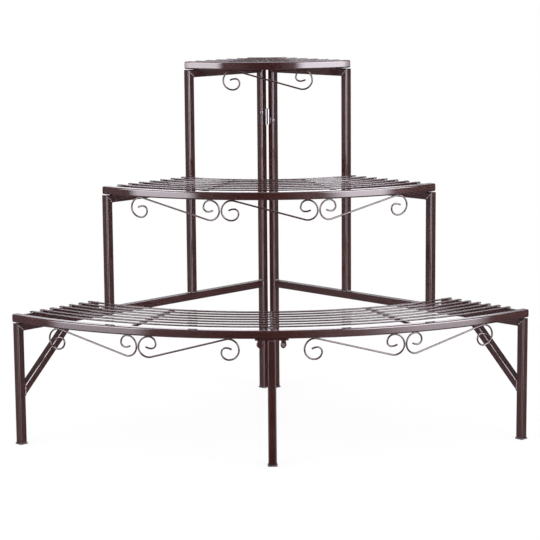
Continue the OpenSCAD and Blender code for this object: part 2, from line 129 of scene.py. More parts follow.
def points_of(node):
    """The points of a frame node's mesh, one in each row."""
    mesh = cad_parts[node].data
    points = np.zeros(3 * len(mesh.vertices), np.float32)
    mesh.vertices.foreach_get("co", points)
    return points.reshape(-1, 3)


# Meshes


def skin(rings):
    """Triangles over closed rings of points: each pair of neighbouring rings is joined by a band, and each
    end ring by a fan to its middle. rings is (lumps, rings, points, 3); every lump is closed by itself."""
    lumps, count, around, _ = rings.shape
    i, j = np.meshgrid(np.arange(count - 1), np.arange(around), indexing="ij")
    i, j = i.ravel(), j.ravel()
    k = (j + 1) % around
    a, b = i * around + j, i * around + k
    c, d = a + around, b + around
    band = np.concatenate([np.stack([a, b, d], -1), np.stack([a, d, c], -1)])
    j = np.arange(around)
    k = (j + 1) % around
    last = (count - 1) * around
    low, high = (np.full(around, count * around + pole) for pole in (0, 1))
    tris = np.concatenate([band, np.stack([k, j, low], -1), np.stack([last + j, last + k, high], -1)])
    poles = np.stack([rings[:, 0].mean(1), rings[:, -1].mean(1)], 1)
    points = np.concatenate([rings.reshape(lumps, -1, 3), poles], 1)
    tris = tris[None] + (np.arange(lumps) * points.shape[1])[:, None, None]
    return points.reshape(-1, 3), tris.reshape(-1, 3)


def build_mesh(name, parts, body, material):
    """One smooth object out of (points, triangles) parts, riding on a body of the frame."""
    start, points, tris = 0, [], []
    for p, t in parts:
        points.append(p)
        tris.append(t + start)
        start += len(p)
    points, tris = np.concatenate(points), np.concatenate(tris)
    mesh = bpy.data.meshes.new(name)
    mesh.vertices.add(len(points))
    mesh.vertices.foreach_set("co", points.astype(np.float32).ravel())
    mesh.loops.add(3 * len(tris))
    mesh.loops.foreach_set("vertex_index", tris.astype(np.int32).ravel())
    mesh.polygons.add(len(tris))
    mesh.polygons.foreach_set("loop_start", np.arange(0, 3 * len(tris), 3, dtype=np.int32))
    mesh.polygons.foreach_set("use_smooth", np.ones(len(tris), bool))
    mesh.update()
    if mesh.validate():
        raise RuntimeError(name + " came out with faulty faces")
    mesh.materials.append(material)
    piece = bpy.data.objects.new(name, mesh)
    bpy.context.scene.collection.objects.link(piece)
    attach(piece, body)
    return piece


def beads(starts, ends, out, across, half_width, rise, pitch):
    """Weld beads, one for each start and end. Along a bead its width and rise follow the root of
    1 - (2s - 1)^4, so it is full for most of its length and rounded at both ends, and the rise is cut by
    |cos(pi * length / pitch)| into ripples. Across it the section is an ellipse, half of it in the metal."""
    given = [np.atleast_2d(np.asarray(a, float)) for a in (starts, ends, out, across)]
    lumps = max(len(a) for a in given)
    starts, ends, out, across = (np.broadcast_to(a, (lumps, 3)) for a in given)
    length = np.linalg.norm(ends - starts, axis=1)
    rings_per_ripple, fewest, most, tip = 5, 9, 90, 0.004
    count = int(np.clip(np.ceil(length.max() / pitch * rings_per_ripple), fewest, most))
    s = np.linspace(tip, 1 - tip, count)
    full = np.sqrt(1 - (2 * s - 1) ** 4)[None]
    ripple_depth, root_share = 0.28, 0.6
    ripple = 1 - ripple_depth * np.abs(np.cos(np.pi * s[None] * length[:, None] / pitch))
    turn = np.linspace(0, 2 * np.pi, 10, endpoint=False)
    side = (half_width * full)[..., None] * np.cos(turn)
    up = (rise * full * ripple)[..., None] * np.sin(turn)
    up = np.where(up < 0, root_share * up, up)
    line = starts[:, None] + s[None, :, None] * (ends - starts)[:, None]
    rings = line[:, :, None] + side[..., None] * across[:, None, None] + up[..., None] * out[:, None, None]
    facing = np.einsum("bi,bi->b", np.cross(across, out), ends - starts)
    return skin(np.where((facing < 0)[:, None, None, None], rings[:, :, ::-1], rings))


def fillet(starts, ends, face_a, face_b, leg, pitch):
    """Weld beads in the inner corner between two faces with normals face_a and face_b: a bead whose section
    joins the points at the distance leg from the corner on either face, bulging a little outwards."""
    face_a, face_b = np.asarray(face_a, float), np.asarray(face_b, float)
    out, across = unit(face_a + face_b), unit(face_a - face_b)
    lift_share, width_share, rise_share = 0.45, 0.72, 0.42
    lift = out * leg * lift_share
    return beads(starts + lift, ends + lift, out, across, leg * width_share, leg * rise_share, pitch)


def rounded_square(turn, half, corner):
    """Distance from the middle of a square with rounded corners to its outline, in the direction turn: that
    of the super-ellipse |x|^k + |y|^k = half^k, with k chosen so that its corner lies where the arc's does."""
    reach = math.sqrt(2) * (half - corner) + corner
    k = math.log(2) / math.log(math.sqrt(2) * half / reach)
    c, s = np.abs(np.cos(turn)), np.abs(np.sin(turn))
    return half / (c**k + s**k) ** (1 / k)


# Materials


def new_group(name, inputs, outputs):
    """An empty node group. Its sockets are given as {name: (kind, default)} and {name: kind}; returns it with
    the sockets to read from and to feed."""
    tree = bpy.data.node_groups.new(name, "ShaderNodeTree")
    for label, (kind, value) in inputs.items():
        made = tree.interface.new_socket(name=label, in_out="INPUT", socket_type="NodeSocket" + kind)
        if value is not None:
            made.default_value = value
    for label, kind in outputs.items():
        tree.interface.new_socket(name=label, in_out="OUTPUT", socket_type="NodeSocket" + kind)
    return tree, tree.nodes.new("NodeGroupInput").outputs, tree.nodes.new("NodeGroupOutput").inputs


def feed(tree, socket, value):
    """Links a socket to another one, or sets it to a number or a colour."""
    if isinstance(value, bpy.types.NodeSocket):
        tree.links.new(value, socket)
    elif isinstance(value, (int, float)):
        socket.default_value = value
    else:
        socket.default_value = tuple(value)[:3] + (1.0,)


def feed_named(tree, node, **values):
    """Feeds a node's inputs, given by socket name with _ for a space."""
    for key, value in values.items():
        feed(tree, node.inputs[key.replace("_", " ")], value)


def math_node(tree, operation, a, b=None, clamp=False):
    """A Math node on sockets or plain numbers; returns its output."""
    node = tree.nodes.new("ShaderNodeMath")
    node.operation, node.use_clamp = operation, clamp
    for place, value in enumerate((a, b)):
        if value is not None:
            feed(tree, node.inputs[place], value)
    return node.outputs[0]


def noise_node(tree, vector, scale, detail=2.0, rough=0.5):
    """A noise texture on a vector; scale is a number or a socket. Returns its value output."""
    node = tree.nodes.new("ShaderNodeTexNoise")
    feed_named(tree, node, Vector=vector, Scale=scale, Detail=detail, Roughness=rough)
    return node.outputs["Fac"]


def ramp_node(tree, value, low, high):
    """0 below low, 1 above high, smooth between; returns the output."""
    node = tree.nodes.new("ShaderNodeMapRange")
    node.interpolation_type = "SMOOTHSTEP"
    feed_named(tree, node, Value=value, From_Min=low, From_Max=high)
    return node.outputs["Result"]


def mask_node(tree, vector, scale, low, high, detail=2.0, rough=0.5):
    """Noise cut to a mask: 0 where it is below low and 1 where it is above high."""
    return ramp_node(tree, noise_node(tree, vector, scale, detail, rough), low, high)


def mix_colour(tree, factor, a, b):
    """A colour Mix node; each argument is a socket, a number or a colour. Returns its output."""
    node = tree.nodes.new("ShaderNodeMix")
    node.data_type = "RGBA"
    for place, value in ((0, factor), (6, a), (7, b)):
        feed(tree, node.inputs[place], value)
    return node.outputs[2]


def sprayed_coat_group():
    """Node group for a sprayed coat. Cloudy noise shifts its colour and gloss, a fine one gives its
    orange-peel height, and rare specks of dust in the film stand up a little and are less glossy."""
    name = "Sprayed coat"
    if name in bpy.data.node_groups:
        return bpy.data.node_groups[name]
    inputs = {
        "Vector": ("Vector", None),
        "Colour": ("Color", (0.03, 0.01, 0.01, 1)),
        "Thin colour": ("Color", (0.06, 0.03, 0.03, 1)),
        "Roughness": ("Float", 0.2),
        "Roughness spread": ("Float", 0.08),
        "Cloud size": ("Float", 14.0),
        "Peel size": ("Float", 700.0),
    }
    outputs = {"Colour": "Color", "Roughness": "Float", "Height": "Float"}
    tree, inside, result = new_group(name, inputs, outputs)
    vector = inside["Vector"]
    cloud = mask_node(tree, vector, inside["Cloud size"], low=0.38, high=0.72, detail=4.0, rough=0.6)
    speck = mask_node(tree, vector, scale=330.0, low=0.80, high=0.86, detail=0.0)
    peel = noise_node(tree, vector, inside["Peel size"], rough=0.45)
    tree.links.new(mix_colour(tree, cloud, inside["Colour"], inside["Thin colour"]), result["Colour"])
    shifted = math_node(tree, "MULTIPLY", cloud, inside["Roughness spread"])
    matt_speck, high_speck = 0.15, 0.5
    specked = math_node(tree, "MULTIPLY", speck, matt_speck)
    rough = math_node(tree, "ADD", inside["Roughness"], math_node(tree, "ADD", shifted, specked), clamp=True)
    tree.links.new(rough, result["Roughness"])
    height = math_node(tree, "ADD", peel, math_node(tree, "MULTIPLY", speck, high_speck))
    tree.links.new(height, result["Height"])
    return tree


def edge_wear_and_highlight_group():
    """Node group for wear and a painted highlight on edges. The mask is how far a normal rounded over the
    given radius leans away from the true one, broken up by noise, so that only some stretches of an edge
    get the rub, which is partly a painted highlight, and some get chips."""
    name = "Worn edge"
    if name in bpy.data.node_groups:
        return bpy.data.node_groups[name]
    inputs = {"Vector": ("Vector", None), "Radius": ("Float", 0.0012), "Amount": ("Float", 0.5)}
    tree, inside, result = new_group(name, inputs, {"Rub": "Float", "Chip": "Float"})
    bevel = tree.nodes.new("ShaderNodeBevel")
    bevel.samples = 4
    tree.links.new(inside["Radius"], bevel.inputs["Radius"])
    true = tree.nodes.new("ShaderNodeNewGeometry").outputs["Normal"]
    lean = tree.nodes.new("ShaderNodeVectorMath")
    lean.operation = "DOT_PRODUCT"
    tree.links.new(bevel.outputs["Normal"], lean.inputs[0])
    tree.links.new(true, lean.inputs[1])
    least_lean, full_lean = 0.01, 0.12
    edge = ramp_node(tree, math_node(tree, "SUBTRACT", 1.0, lean.outputs["Value"]), least_lean, full_lean)
    stretch = mask_node(tree, inside["Vector"], scale=38.0, low=0.45, high=0.70, detail=3.0, rough=0.6)
    fleck = mask_node(tree, inside["Vector"], scale=210.0, low=0.70, high=0.74, detail=1.0)
    # The rub is partly wear and partly a painted edge highlight; the chips are wear.
    for name, mask in (("Rub", stretch), ("Chip", fleck)):
        amount = math_node(tree, "MULTIPLY", mask, inside["Amount"])
        tree.links.new(math_node(tree, "MULTIPLY", edge, amount), result[name])
    return tree


def group_node(tree, group, **values):
    """A node group placed in a tree with its own values; returns its outputs."""
    node = tree.nodes.new("ShaderNodeGroup")
    node.node_tree = group
    feed_named(tree, node, **values)
    return node.outputs


def new_material(name):
    """An empty material; returns it with its tree, its Principled BSDF and the Object coordinates."""
    made = bpy.data.materials.get(name) or bpy.data.materials.new(name)
    made.use_nodes = True
    tree = made.node_tree
    tree.nodes.clear()
    surface = tree.nodes.new("ShaderNodeBsdfPrincipled")
    tree.links.new(surface.outputs[0], tree.nodes.new("ShaderNodeOutputMaterial").inputs["Surface"])
    place = tree.nodes.new("ShaderNodeTexCoord").outputs["Object"]
    return made, tree, surface, place


def bump_from(tree, surface, height, distance, strength):
    """Feeds a height to the surface's normal."""
    bump = tree.nodes.new("ShaderNodeBump")
    feed_named(tree, bump, Height=height, Distance=distance, Strength=strength)
    tree.links.new(bump.outputs["Normal"], surface.inputs["Normal"])


def tip_gloss(tree, surface, tilt):
    """The gloss of level tops tipped along Y by a trace, as on bars that sag a little towards the front."""
    tipped, whole = tree.nodes.new("ShaderNodeVectorMath"), tree.nodes.new("ShaderNodeVectorMath")
    tipped.operation, whole.operation = "ADD", "NORMALIZE"
    tree.links.new(tree.nodes.new("ShaderNodeNewGeometry").outputs["Normal"], tipped.inputs[0])
    tipped.inputs[1].default_value = (0.0, tilt, 0.0)
    tree.links.new(tipped.outputs[0], whole.inputs[0])
    tree.links.new(whole.outputs[0], surface.inputs["Coat Normal"])


def enamel(
    name, settings, cloud_size=14.0, peel_size=700.0, edge_radius=0.0012, wear_and_highlight=1.0, lift=1.0, peel=1.0,
    tilt=0.0, shine=1.5,
):
    """Glossy sprayed enamel: a deep brown film under a hard gloss, lighter on stretches of its edges, partly as
    rubbed film and partly as a painted highlight, with a few chips to the grey primer. lift brightens the colour
    for pieces where the film is thin, peel scales its orange peel, tilt tips the gloss of flat tops by a trace
    and shine is the refractive index of the gloss."""
    made, tree, surface, place = new_material(name)
    coat = group_node(
        tree,
        sprayed_coat_group(),
        Vector=place,
        Colour=[c * lift for c in settings.colour],
        Thin_colour=[c * lift for c in settings.thin_colour],
        Roughness=settings.roughness,
        Roughness_spread=settings.roughness_spread,
        Cloud_size=cloud_size,
        Peel_size=peel_size,
    )
    edge_wear_and_highlight = group_node(tree, edge_wear_and_highlight_group(), Vector=place, Radius=edge_radius, Amount=settings.wear_and_highlight * wear_and_highlight)
    # Painted highlight: the rub colour lightens stretches of the edges, partly as rubbed film, partly as the
    # highlight that rounded edges catch.
    rubbed = mix_colour(tree, edge_wear_and_highlight["Rub"], coat["Colour"], settings.rub_and_highlight_colour)
    matt = math_node(tree, "MULTIPLY", edge_wear_and_highlight["Chip"], 0.5)
    feed_named(
        tree,
        surface,
        Base_Color=mix_colour(tree, edge_wear_and_highlight["Chip"], rubbed, settings.chip_colour),
        Roughness=math_node(tree, "ADD", coat["Roughness"], matt, clamp=True),
        Specular_IOR_Level=settings.film_sheen,
        Coat_Weight=settings.gloss,
        Coat_Roughness=settings.gloss_roughness,
        Coat_IOR=shine,
    )
    if tilt:
        tip_gloss(tree, surface, tilt)
    if peel:
        bump_from(tree, surface, coat["Height"], settings.peel_depth, 0.5 * peel)
    return made


def moulded_plastic(name, settings):
    """Black moulded plastic: a fine even grain, greyed where it is scuffed near the floor."""
    made, tree, surface, place = new_material(name)
    grain = noise_node(tree, place, scale=1500.0, rough=0.6)
    cloud = mask_node(tree, place, scale=60.0, low=0.40, high=0.75, detail=4.0, rough=0.6)
    parted = tree.nodes.new("ShaderNodeSeparateXYZ")
    tree.links.new(place, parted.inputs[0])
    scuff_height = 0.004
    low = math_node(tree, "SUBTRACT", 1.0, ramp_node(tree, parted.outputs["Z"], 0.0, scuff_height))
    scuff = math_node(tree, "MULTIPLY", low, cloud)
    edge_wear_and_highlight = group_node(tree, edge_wear_and_highlight_group(), Vector=place, Radius=0.0010, Amount=0.8)
    grey = math_node(tree, "MAXIMUM", scuff, edge_wear_and_highlight["Rub"])
    colour = mix_colour(tree, grey, settings.colour, settings.scuff_colour)
    rough = math_node(tree, "ADD", settings.roughness, math_node(tree, "MULTIPLY", cloud, 0.18), clamp=True)
    feed_named(tree, surface, Base_Color=colour, Roughness=rough)
    bump_from(tree, surface, grain, distance=0.00006, strength=0.6)
    return made


def plated_steel(name, colour, roughness):
    """Dull plated steel: cloudy crystals in colour and gloss, with fine scratches stretched along Z."""
    made, tree, surface, place = new_material(name)
    along_z = 0.12
    stretch = tree.nodes.new("ShaderNodeMapping")
    tree.links.new(place, stretch.inputs["Vector"])
    stretch.inputs["Scale"].default_value = (1.0, 1.0, along_z)
    scratch = noise_node(tree, stretch.outputs[0], scale=1900.0, rough=0.7)
    cloud = mask_node(tree, place, scale=160.0, low=0.35, high=0.70, detail=4.0, rough=0.6)
    brighter = 1.7
    tint = mix_colour(tree, cloud, colour, [brighter * c for c in colour])
    rough = math_node(tree, "ADD", roughness, math_node(tree, "MULTIPLY", scratch, 0.2), clamp=True)
    feed_named(tree, surface, Base_Color=tint, Roughness=rough, Metallic=1.0)
    bump_from(tree, surface, scratch, distance=0.00004, strength=0.5)
    return made


# Settings that a user would change


class EnamelSettings(bpy.types.PropertyGroup):
    colour: FloatVectorProperty(
        name="Colour", description="The enamel in its full thickness", subtype="COLOR", min=0, max=1,
        default=(0.027, 0.0082, 0.0078),
    )
    thin_colour: FloatVectorProperty(
        name="Thin colour", description="The enamel where the film is a little thinner", subtype="COLOR",
        min=0, max=1, default=(0.036, 0.0125, 0.0115),
    )
    # The rub colour is partly rubbed film and partly a painted highlight on the edges.
    rub_and_highlight_colour: FloatVectorProperty(
        name="Rubbed and highlight colour", description="The enamel on rubbed edges", subtype="COLOR", min=0, max=1,
        default=(0.10, 0.060, 0.055),
    )
    chip_colour: FloatVectorProperty(
        name="Chip colour", description="The primer that a chip shows", subtype="COLOR", min=0, max=1,
        default=(0.42, 0.40, 0.38),
    )
    roughness: FloatProperty(name="Roughness", description="Of the film itself", default=0.42, min=0, max=1)
    roughness_spread: FloatProperty(
        name="Roughness spread", description="How far the roughness shifts in clouds", default=0.10, min=0,
        max=1,
    )
    film_sheen: FloatProperty(
        name="Sheen under the gloss", description="Specular level of the film itself", default=0.06, min=0,
        max=1,
    )
    gloss: FloatProperty(
        name="Gloss", description="Weight of the hard gloss on top", default=1.0, min=0, max=1
    )
    gloss_roughness: FloatProperty(
        name="Gloss roughness", description="Roughness of the gloss on top", default=0.05, min=0, max=1
    )
    peel_depth: FloatProperty(
        name="Peel depth", description="Depth of the orange peel", subtype="DISTANCE", default=0.000003,
        min=0, max=0.001, precision=6,
    )
    # Wear sets the rub, which is partly a painted edge highlight, and the chips.
    wear_and_highlight: FloatProperty(
        name="Wear and edge highlight", description="Amount of rubbing and chips on edges", default=0.28, min=0, max=1
    )


class PlasticSettings(bpy.types.PropertyGroup):
    colour: FloatVectorProperty(
        name="Colour", description="Of the feet and end plugs", subtype="COLOR", min=0, max=1,
        default=(0.020, 0.017, 0.017),
    )
    scuff_colour: FloatVectorProperty(
        name="Scuffed colour", description="Where the plastic is rubbed", subtype="COLOR", min=0, max=1,
        default=(0.11, 0.10, 0.095),
    )
    roughness: FloatProperty(name="Roughness", description="Of the plastic", default=0.38, min=0, max=1)


class WeldSettings(bpy.types.PropertyGroup):
    leg: FloatProperty(
        name="Leg", description="Size of the welds between tubes", subtype="DISTANCE", default=0.0027,
        min=0.001, max=0.004, precision=4,
    )
    small_leg: FloatProperty(
        name="Small leg", description="Size of the welds at slats and scrolls", subtype="DISTANCE",
        default=0.0022, min=0.0008, max=0.003, precision=4,
    )
    pitch: FloatProperty(
        name="Ripple pitch", description="Spacing of a weld's ripples", subtype="DISTANCE", default=0.0011,
        min=0.0005, max=0.003, precision=4,
    )


class SmallPartSettings(bpy.types.PropertyGroup):
    rounding: FloatProperty(
        name="Rounding", description="Rounding of the edges of the feet", subtype="DISTANCE",
        default=0.0009, min=0.0003, max=0.0014, precision=4,
    )
    grip: FloatProperty(
        name="Grip thickness", description="Of the oval grips of the wing bolts", subtype="DISTANCE",
        default=0.0024, min=0.001, max=0.0026, precision=4,
    )


class StudioSettings(bpy.types.PropertyGroup):
    camera_at: FloatVectorProperty(
        name="Camera", description="Where the camera stands", subtype="TRANSLATION",
        default=(-0.02922, -3.91391, 0.96444),
    )
    yaw: FloatProperty(name="Yaw", description="Turn to the right", subtype="ANGLE", default=0.00759)
    pitch: FloatProperty(name="Pitch", description="Tilt down", subtype="ANGLE", default=0.16293)
    roll: FloatProperty(
        name="Roll", description="Turn about the line of sight", subtype="ANGLE", default=-0.00812
    )
    focal_px: FloatProperty(
        name="Focal length", description="In pixels of an image 540 pixels wide", default=1937.6, min=100
    )
    box_radiance: FloatProperty(
        name="Softbox brightness",
        description="Of the softboxes as mirrored in gloss at eye level, white being 1", default=14.6, min=0,
    )
    lamp_power: FloatProperty(
        name="Lamp power", description="Of each of the two lamps that light matt surfaces", subtype="POWER",
        default=60.0, min=0,
    )
    sky: FloatProperty(
        name="Fill", description="Light from all round on matt surfaces, white being 1", default=0.98, min=0
    )
    floor_colour: FloatVectorProperty(
        name="Floor colour", description="Of the round white table under the stand", subtype="COLOR", min=0,
        max=1, default=(0.90, 0.90, 0.90),
    )
    floor_radius: FloatProperty(
        name="Floor radius", description="Of the round white table", subtype="DISTANCE", default=1.35, min=1
    )


class PlantStandSettings(bpy.types.PropertyGroup):
    enamel: PointerProperty(type=EnamelSettings)
    plastic: PointerProperty(type=PlasticSettings)
    weld: PointerProperty(type=WeldSettings)
    small: PointerProperty(type=SmallPartSettings)
    studio: PointerProperty(type=StudioSettings)


def paint(node, material):
    """Gives a node of the frame one material."""
    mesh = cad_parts[node].data
    mesh.materials.clear()
    mesh.materials.append(material)


# Operators


class PLANTSTAND_OT_enamel_frames(bpy.types.Operator):
    """Enamels the tubes of the side frames, the rims and the centre leg"""

    bl_idname = "plantstand.enamel_frames"
    bl_label = "Enamel the tubes"

    def execute(self, context):
        settings = context.scene.plant_stand.enamel
        tube = enamel("Tube enamel", settings)
        names = [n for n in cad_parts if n.endswith(("post", "leg", "rail", "brace"))]
        for node in names + [tier + "_rim" for tier in TIERS] + ["centre_leg_plate"]:
            paint(node, tube)
        return {"FINISHED"}


class PLANTSTAND_OT_enamel_shelves(bpy.types.Operator):
    """Enamels the slats, ribs and end bars, where pots have rubbed the film a little. On the slats the
    stronger rub is partly a painted edge highlight
    """

    bl_idname = "plantstand.enamel_shelves"
    bl_label = "Enamel the slats and bars"

    def execute(self, context):
        settings = context.scene.plant_stand.enamel
        slat = enamel(
            "Slat enamel", settings, cloud_size=22.0, peel_size=500.0, edge_radius=0.0006, wear_and_highlight=1.3, peel=0.0,
            tilt=0.002,
        )
        bar = enamel("Bar enamel", settings, cloud_size=30.0, peel_size=900.0, edge_radius=0.0006)
        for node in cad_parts:
            if node.endswith("slats"):
                paint(node, slat)
            elif node.endswith(("rib", "ribs", "end_bar")):
                paint(node, bar)
        return {"FINISHED"}


class PLANTSTAND_OT_enamel_scrolls(bpy.types.Operator):
    """Enamels the wire scrolls, where the film is thinner"""

    bl_idname = "plantstand.enamel_scrolls"
    bl_label = "Enamel the scrolls"

    def execute(self, context):
        wire = enamel(
            "Wire enamel", context.scene.plant_stand.enamel, cloud_size=60.0, peel_size=1200.0,
            edge_radius=0.0003, wear_and_highlight=0.5, lift=1.1,
        )
        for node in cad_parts:
            if node.endswith("scroll"):
                paint(node, wire)
        return {"FINISHED"}


# Inner corners of a side frame: the post, its outward (1) or inward side, the rail, and whether above it
TUBE_CORNERS = (
    ("rear_post", 1, "top", False),
    ("rear_post", 1, "bottom", False),
    ("rear_post", 1, "bottom", True),
    ("top_post", -1, "top", False),
    ("top_post", 1, "middle", True),
    ("top_post", 1, "middle", False),
    ("top_post", -1, "bottom", True),
    ("top_post", 1, "bottom", True),
    ("middle_post", -1, "middle", False),
    ("middle_post", -1, "bottom", True),
    ("middle_post", 1, "bottom", True),
    ("front_leg", -1, "bottom", False),
)
# Mitres on a side frame's flush faces: the post, the rail, and the way that the rail runs from its inner corner
MITRES = (
    ("rear_post", "top", -1),
    ("top_post", "top", 1),
    ("middle_post", "middle", 1),
    ("front_leg", "bottom", 1),
)
# Half width and rise of the seams on flush faces, how deep their middle lies in the metal, and how far a seam
# on a rail stays off the rail's edges
BUTT_SEAM = (0.0011, 0.0006)
BRACE_SEAM = (0.0017, 0.0013)
MITRE_SEAM = (0.0013, 0.0008)
SEAM_SUNK = 0.0002
SEAM_SHORT = 0.001


def tube_corners(side, weld):
    """Fillets across the tubes of a side frame: where its posts and rails meet, and above and below both ends
    of the brace."""
    along = side_vector(side, 1, 0, 0)
    run_out = side_vector(side, HALF_ROOT, 0, HALF_ROOT)
    slope = HALF * math.sqrt(2)
    leg_u, rail_z = POST_AT["front_leg"] - HALF, RAIL_TOP["bottom"] - TUBE
    brace_u = leg_u - (rail_z - BRACE_FOOT_Z)
    rows = []
    for post, way, tier, above in TUBE_CORNERS:
        z = RAIL_TOP[tier] - (0 if above else TUBE)
        rows.append((POST_AT[post] + way * HALF, z, way * along, UP if above else DOWN))
    for way in (1, -1):
        rows.append((leg_u, BRACE_FOOT_Z + way * slope, -along, way * run_out))
        rows.append((brace_u + way * slope, rail_z, DOWN, way * run_out))
    u, z, face, flank = (np.array(column) for column in zip(*rows))
    starts, ends = side_point(side, u, -FLAT, z), side_point(side, u, FLAT, z)
    return fillet(starts, ends, face, flank, weld.leg, weld.pitch)


def flush_seams(side, n, weld):
    """Seams across the flush faces of a side frame, on its outer side with n = 1 or its inner side with -1."""
    along, face = side_vector(side, 1, 0, 0), side_vector(side, 0, n, 0)
    slope = HALF * math.sqrt(2)
    leg_u, rail_z = POST_AT["front_leg"] - HALF, RAIL_TOP["bottom"] - TUBE
    brace_u = leg_u - (rail_z - BRACE_FOOT_Z)
    rows = [
        ((leg_u, BRACE_FOOT_Z - slope), (leg_u, BRACE_FOOT_Z + slope), along, BRACE_SEAM),
        ((brace_u - slope, rail_z), (brace_u + slope, rail_z), UP, BRACE_SEAM),
    ]
    for post, tier in (("rear_post", "bottom"), ("top_post", "middle")):
        u, top = POST_AT[post] + HALF, RAIL_TOP[tier]
        rows.append(((u, top - TUBE + SEAM_SHORT), (u, top - SEAM_SHORT), along, BUTT_SEAM))
    for post in ("top_post", "middle_post"):
        u, top = POST_AT[post], RAIL_TOP["bottom"]
        rows.append(((u - FLAT, top), (u + FLAT, top), UP, BUTT_SEAM))
    for post, tier, way in MITRES:
        u, top = POST_AT[post], RAIL_TOP[tier]
        across = side_vector(side, HALF_ROOT * way, 0, -HALF_ROOT)
        rows.append(((u - way * HALF, top - TUBE), (u + way * FLAT, top - HALF + FLAT), across, MITRE_SEAM))
    level = n * (HALF - SEAM_SUNK)
    return [
        beads(*(side_point(side, u, level, z) for u, z in ends), face, across, *size, weld.pitch)
        for *ends, across, size in rows
    ]


class PLANTSTAND_OT_weld_frames(bpy.types.Operator):
    """Lays the weld beads where rails, posts and braces of the side frames meet"""

    bl_idname = "plantstand.weld_frames"
    bl_label = "Weld the side frames"

    def execute(self, context):
        stand = context.scene.plant_stand
        material = enamel(
            "Weld enamel", stand.enamel, cloud_size=90.0, peel_size=1500.0, edge_radius=0.0003, wear_and_highlight=0.6,
            lift=1.15, shine=1.8,
        )
        for side in SIDES:
            seams = flush_seams(side, -1, stand.weld) + flush_seams(side, 1, stand.weld)
            parts = [tube_corners(side, stand.weld), *seams]
            build_mesh(side + "_frame_welds", parts, side + "_frame", material)
        return {"FINISHED"}


def rib_meets(angle, radius):
    """Where the line from the corner at an angle in degrees crosses circles about the arcs' centre."""
    a = math.radians(angle)
    across = ARC_BEHIND * math.sin(a)
    reach = np.sqrt(np.asarray(radius) ** 2 - across**2) - ARC_BEHIND * math.cos(a)
    return np.stack([reach * math.sin(a), CORNER_Y - reach * math.cos(a), np.zeros_like(reach)], -1)


def bar_welds(tier, angle, weld):
    """Fillets of one rib or end bar of a shelf: along both edges of every slat that it carries, and on both
    sides of its end at the rim."""
    first, pitch, count = SLATS[tier]
    centres = first - pitch * np.arange(count)
    edges = np.concatenate([centres + SLAT_WIDTH / 2, centres - SLAT_WIDTH / 2])
    outward = np.concatenate([np.ones(count), -np.ones(count)])
    under_slat = RIM_TOP[tier] - SLAT_THICK
    place = rib_meets(angle, edges)
    radial = unit(place - np.array([0.0, ARC_Y, 0.0]))
    tangent = np.stack([-radial[:, 1], radial[:, 0], np.zeros(len(radial))], -1)
    place[:, 2] = under_slat
    overhang, below_slat = 0.0002, 0.0012
    half = tangent * (BAR_THICK / 2 + overhang)
    slat_side = radial * outward[:, None]
    parts = [fillet(place - half, place + half, slat_side, UP, weld.small_leg, weld.pitch)]
    end, a = rib_meets(angle, RIM_RADIUS[tier] - TUBE), math.radians(angle)
    inward = np.array([-math.sin(a), math.cos(a), 0.0])
    sideways = np.array([math.cos(a), math.sin(a), 0.0])
    is_end_bar = abs(angle) == BAR_ANGLE
    for way in (-1.0, 1.0):
        flank = end + way * sideways * BAR_THICK / 2
        low = RIM_TOP[tier] - TUBE + BAR_FOOT if is_end_bar else under_slat - RIB_DEPTH
        high = under_slat - below_slat
        parts.append(
            fillet(flank + low * UP, flank + high * UP, inward, way * sideways, weld.small_leg, weld.pitch)
        )
    return parts


class PLANTSTAND_OT_weld_shelves(bpy.types.Operator):
    """Lays the short weld beads where slats cross ribs and end bars, and where bars meet the rims"""

    bl_idname = "plantstand.weld_shelves"
    bl_label = "Weld the shelves"

    def execute(self, context):
        weld = context.scene.plant_stand.weld
        material = bpy.data.materials["Weld enamel"]
        for tier in TIERS:
            angles = (-BAR_ANGLE, *RIBS[tier], BAR_ANGLE)
            parts = [part for angle in angles for part in bar_welds(tier, angle, weld)]
            build_mesh(tier + "_shelf_welds", parts, tier + "_shelf", material)
        return {"FINISHED"}


def curl_welds(node, under, weld):
    """Fillets on both sides of a scroll's wire, where each of its two curls touches the rim's underside."""
    touch_depth, half_length, wire_half, share = 0.0006, 0.0035, 0.0004, 0.9
    points = points_of(node)
    middle = points.mean(0)
    top = points[points[:, 2] > under - touch_depth]
    radial = unit(np.array([middle[0], middle[1] - ARC_Y, 0.0]))
    tangent = np.array([-radial[1], radial[0], 0.0])
    along = (top - middle) @ tangent
    parts = []
    for chosen in (along < 0, along > 0):
        place = top[chosen].mean(0)
        place[2] = under
        for way in (-1.0, 1.0):
            foot, half = place + way * radial * wire_half, tangent * half_length
            parts.append(
                fillet(foot - half, foot + half, way * radial, DOWN, weld.small_leg * share, weld.pitch)
            )
    return parts


def plate_welds(weld):
    """Fillets on the four sides of the centre leg, under its plate."""
    under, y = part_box("centre_leg_plate")[0].z, middle_of("centre_leg").y
    short = HALF - 0.002
    parts = []
    for way in (-1.0, 1.0):
        front = (-short, y + way * HALF, under), (short, y + way * HALF, under), (0.0, way, 0.0)
        flank = (way * HALF, y - short, under), (way * HALF, y + short, under), (way, 0.0, 0.0)
        for start, end, out in (front, flank):
            parts.append(fillet(start, end, out, DOWN, weld.small_leg, weld.pitch))
    return parts


class PLANTSTAND_OT_weld_scrolls(bpy.types.Operator):
    """Lays a weld on either side of each curl where it touches its rim, and round the leg under its plate"""

    bl_idname = "plantstand.weld_scrolls"
    bl_label = "Weld the scrolls"

    def execute(self, context):
        weld = context.scene.plant_stand.weld
        material = bpy.data.materials["Weld enamel"]
        for tier in TIERS:
            scrolls = [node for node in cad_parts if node.startswith(tier) and node.endswith("scroll")]
            under = RIM_TOP[tier] - TUBE
            parts = [part for node in scrolls for part in curl_welds(node, under, weld)]
            if tier == "bottom":
                parts += plate_welds(weld)
            build_mesh(tier + "_scroll_welds", parts, tier + "_shelf", material)
        return {"FINISHED"}


